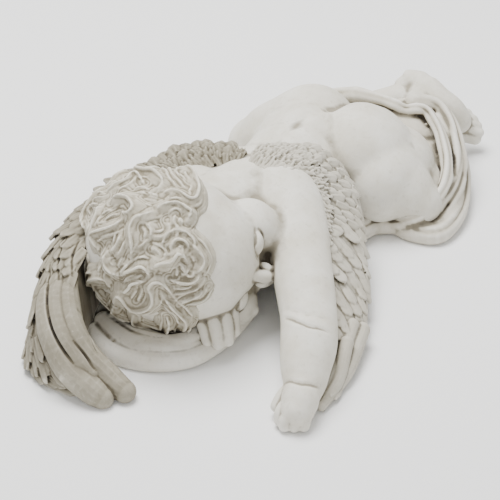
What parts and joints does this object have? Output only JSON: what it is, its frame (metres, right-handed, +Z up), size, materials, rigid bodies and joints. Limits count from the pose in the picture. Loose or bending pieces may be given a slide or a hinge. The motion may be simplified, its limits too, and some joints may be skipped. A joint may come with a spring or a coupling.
{
  "type": "angel statue",
  "caption": "Sleeping winged child lying on its front with its head on one hand and a cloth over its legs, cast in one piece with a flat underside.",
  "frame": {"origin": "on the flat underside, below the middle of the chest", "axes": "+Z up out of the back, -Y towards the head and the wing tips, +X towards the child's left arm"},
  "size_m": [0.2397, 0.4419, 0.123],
  "materials": {
    "stone": "matt antique white stone-filled resin with grey-brown in the hollows"
  },
  "bodies": {
    "root": {"angel": "stone"}
  },
  "joints": []
}
